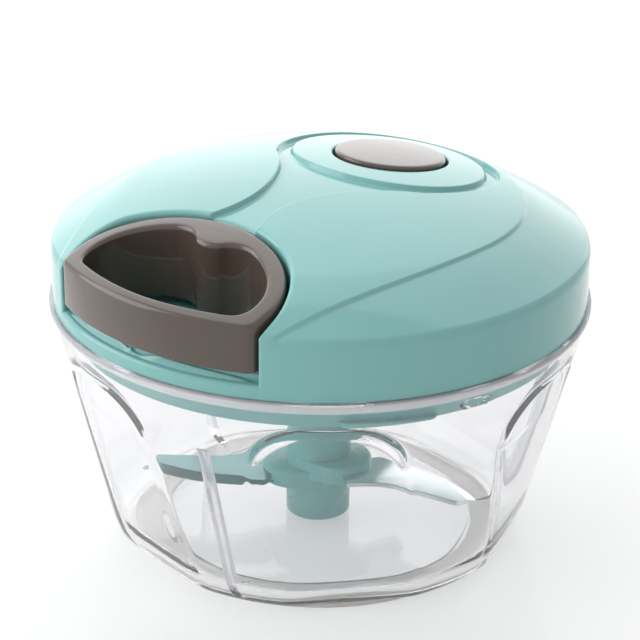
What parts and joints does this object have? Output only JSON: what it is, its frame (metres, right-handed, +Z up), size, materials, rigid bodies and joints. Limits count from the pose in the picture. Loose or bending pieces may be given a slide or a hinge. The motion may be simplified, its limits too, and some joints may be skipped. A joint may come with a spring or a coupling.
{
  "type": "manual pull cord food chopper",
  "caption": "Round hand chopper with a clear fluted bowl, a blade rotor on a pin, and a domed lid with a push button and a pull-cord handle set in a notch.",
  "frame": {"origin": "the middle of the underside of the foot ring, on the surface that the chopper stands on", "axes": "+Z up along the rotor's axis, -Y the way the handle pulls, +Y towards the button"},
  "size_m": [0.1268, 0.127, 0.0893],
  "materials": {
    "clear": "clear moulded plastic, glossy",
    "foot": "soft matt",
    "mint": "glossy moulded mint green",
    "taupe": "satin moulded taupe",
    "white": "plain moulded",
    "seal": "pale silicone",
    "cord": "woven cord",
    "steel": "ground stainless"
  },
  "bodies": {
    "bowl": {"bowl": "clear", "foot_ring": "foot", "pivot_pin": "steel"},
    "rotor": {"blade_hub": "mint", "blade_lower": "steel", "blade_middle": "steel", "blade_upper": "steel"},
    "seal": {"lid_seal": "seal"},
    "lid": {"lid_shell": "mint", "lid_base": "mint", "cord_guide": "white", "cord_entry": "cord", "cord_lead": "cord", "spring_case": "white", "recoil_spring": "steel", "button_spring": "steel", "lid_screw_1": "steel", "lid_screw_2": "steel", "lid_screw_3": "steel", "lid_screw_4": "steel", "case_screw_1": "steel", "case_screw_2": "steel", "case_screw_3": "steel"},
    "handle": {"handle": "taupe", "cord_knot": "cord"},
    "drum": {"cord_drum": "white", "cord_winding": "cord"},
    "shaft": {"drive_shaft": "steel", "clutch_spider": "steel", "clutch_screw": "steel"},
    "button": {"button": "taupe"}
  },
  "joints": [
    {"name": "lid_lift", "type": "slide", "parent": "bowl", "child": "seal", "axis": [0, 0, 1], "range_m": [0, 0.08]},
    {"name": "lid_turn", "type": "hinge", "parent": "seal", "child": "lid", "pos_m": [0, 0, 0.06], "axis": [0, 0, 1], "range_deg": [0, 22]},
    {"name": "blade_spin", "type": "hinge", "parent": "bowl", "child": "rotor", "pos_m": [0, 0, 0.01], "axis": [0, 0, 1], "continuous": true},
    {"name": "drive_spin", "type": "hinge", "parent": "seal", "child": "shaft", "pos_m": [0, 0, 0.06], "axis": [0, 0, 1], "continuous": true},
    {"name": "handle_pull", "type": "slide", "parent": "lid", "child": "handle", "axis": [0, -1, 0], "range_m": [0, 0.28], "stiffness_N_per_m": 20, "deforming": ["cord_lead"]},
    {"name": "drum_spin", "type": "hinge", "parent": "lid", "child": "drum", "pos_m": [0, 0, 0.07], "axis": [0, 0, 1], "range_deg": [0, 807]},
    {"name": "button_press", "type": "slide", "parent": "lid", "child": "button", "axis": [0, 0, -1], "range_m": [0, 0.002], "stiffness_N_per_m": 400, "deforming": ["button_spring"]}
  ],
  "couplings": [
    {"joint": "drive_spin", "follows": "blade_spin", "ratio": 1},
    {"joint": "drum_spin", "follows": "handle_pull", "rad_per_m": 50.25}
  ]
}
